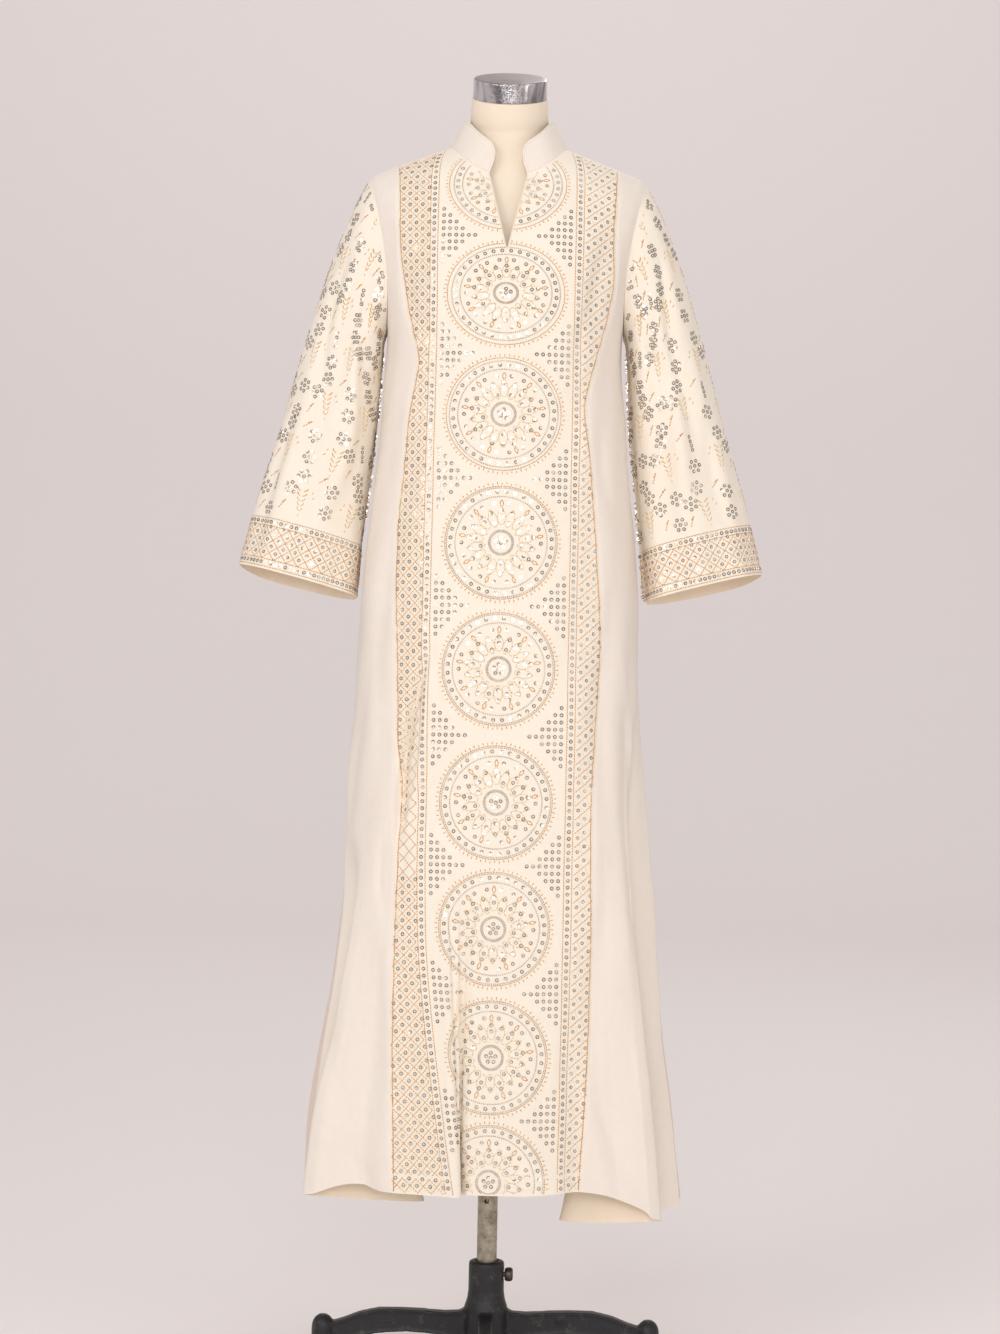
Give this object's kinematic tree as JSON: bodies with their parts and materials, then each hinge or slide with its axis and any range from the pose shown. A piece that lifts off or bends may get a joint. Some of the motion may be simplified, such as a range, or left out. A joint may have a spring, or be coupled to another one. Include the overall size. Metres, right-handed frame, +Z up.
{
  "type": "maxi dress on a dress form and stand",
  "caption": "Long ivory dress with bell sleeves, stand collar, neck slit and flared skirt, worn by a limbless dress form on a cast metal stand.",
  "frame": {"origin": "centre of the stand at floor level, under the pole", "axes": "+Z up along the pole, the front of the dress faces -Y, the wearer's left arm points along +X"},
  "size_m": [0.7328, 0.491, 1.8198],
  "materials": {
    "embroidered_cloth": "woven ivory cloth with thread and sequin embroidery",
    "plain_cloth": "plain ivory woven cloth",
    "form_cloth": "smooth cream cloth cover",
    "cap_chrome": "polished with pits",
    "pole_metal": "dull worn plating",
    "base_iron": "worn black paint on a casting"
  },
  "bodies": {
    "base": {"base_casting": "base_iron", "set_screw": "pole_metal"},
    "form": {"pole": "pole_metal", "form_torso": "form_cloth", "neck_cap": "cap_chrome", "front_centre_panel": "embroidered_cloth", "side_front_left": "plain_cloth", "side_front_right": "plain_cloth", "back_panel": "plain_cloth", "sleeve_left": "embroidered_cloth", "sleeve_right": "embroidered_cloth", "collar": "plain_cloth"}
  },
  "joints": [
    {"name": "form_height", "type": "slide", "parent": "base", "child": "form", "axis": [0, 0, 1], "range_m": [-0.05, 0.05]}
  ]
}
